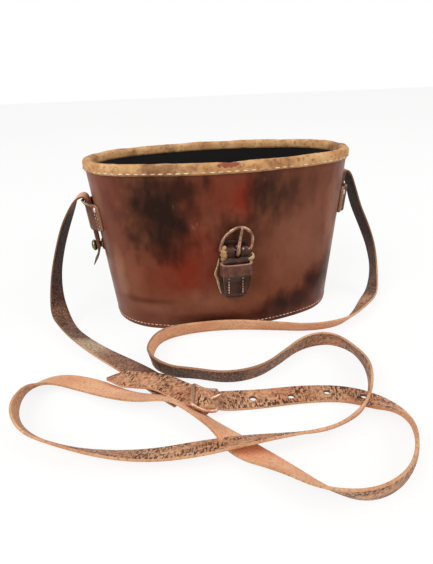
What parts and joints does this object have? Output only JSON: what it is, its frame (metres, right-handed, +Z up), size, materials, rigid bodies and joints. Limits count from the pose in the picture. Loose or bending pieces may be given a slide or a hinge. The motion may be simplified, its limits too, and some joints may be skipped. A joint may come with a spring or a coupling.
{
  "type": "binocular hard case",
  "caption": "Oval stitched leather hard case for prism binoculars, lid hanging open behind on a leather hinge, front buckle with prong and keeper, and a long buckled shoulder strap in front.",
  "frame": {"origin": "centre of the base, on the surface that the case stands on", "axes": "+Z up, -Y towards the front buckle, +X to the right of someone who looks at the front"},
  "size_m": [0.2241, 0.3507, 0.096],
  "materials": {
    "case_leather": "polished reddish brown saddle leather, worn and darkened in patches",
    "binding_leather": "tan rolled edge binding, rubbed and cracked",
    "strap_leather": "dry tan strap leather with dark cracks in the grain side",
    "lining": "matt black cloth lining",
    "buckle_metal": "brown patina over brass wire, bright on the worn edges",
    "stud_brass": "dull greenish brass"
  },
  "bodies": {
    "case": {"body_wall": "case_leather", "base_pan": "case_leather", "base_lining": "lining", "wall_lining": "lining", "rim_binding": "binding_leather", "back_seam_strip": "case_leather", "hinge_body_leaf": "case_leather", "buckle_backing": "case_leather", "buckle_chape": "case_leather", "buckle_keeper": "case_leather", "strap_loop_left": "case_leather", "strap_loop_right": "case_leather", "loop_rivets_left": "buckle_metal", "loop_rivets_right": "buckle_metal", "strap_stud_left": "stud_brass", "strap_rivet_right": "buckle_metal", "strap_end_left": "strap_leather", "strap_end_right": "strap_leather", "strap_short": "strap_leather", "strap_fall": "strap_leather", "strap_front_run": "strap_leather", "strap_right_loop": "strap_leather", "strap_left_loop": "strap_leather", "strap_front_loop": "strap_leather", "strap_holed_run": "strap_leather", "strap_tail": "strap_leather", "strap_splice": "strap_leather", "strap_buckle": "buckle_metal", "strap_buckle_fold": "strap_leather"},
    "lid": {"lid_skirt": "case_leather", "lid_top": "case_leather", "lid_welt": "case_leather", "lid_skirt_lining": "lining", "lid_top_lining": "lining", "hinge_lid_leaf": "case_leather", "closing_strap_root": "case_leather", "closing_strap_rivets": "buckle_metal"},
    "closing_strap": {"closing_strap": "case_leather"},
    "buckle_frame": {"buckle_frame": "buckle_metal"},
    "buckle_prong": {"buckle_prong": "buckle_metal"},
    "strap_prong": {"strap_buckle_prong": "buckle_metal"}
  },
  "joints": [
    {"name": "lid_hinge", "type": "hinge", "parent": "case", "child": "lid", "pos_m": [0, 0.0476, 0.083], "axis": [1, 0, 0], "range_deg": [0, 183]},
    {"name": "closing_strap_flex", "type": "hinge", "parent": "lid", "child": "closing_strap", "pos_m": [0, 0.14603, 0.07534], "axis": [1, 0, 0], "range_deg": [0, 120]},
    {"name": "buckle_swivel", "type": "hinge", "parent": "case", "child": "buckle_frame", "pos_m": [0, -0.04695, 0.05], "axis": [1, 0, 0], "range_deg": [0, 70]},
    {"name": "prong_swing", "type": "hinge", "parent": "buckle_frame", "child": "buckle_prong", "pos_m": [0, -0.04695, 0.05], "axis": [1, 0, 0], "range_deg": [0, 40]},
    {"name": "strap_prong_swing", "type": "hinge", "parent": "case", "child": "strap_prong", "pos_m": [-0.0275, -0.1095, 0.00215], "axis": [-0.5, -0.866, 0], "range_deg": [0, 8]}
  ]
}
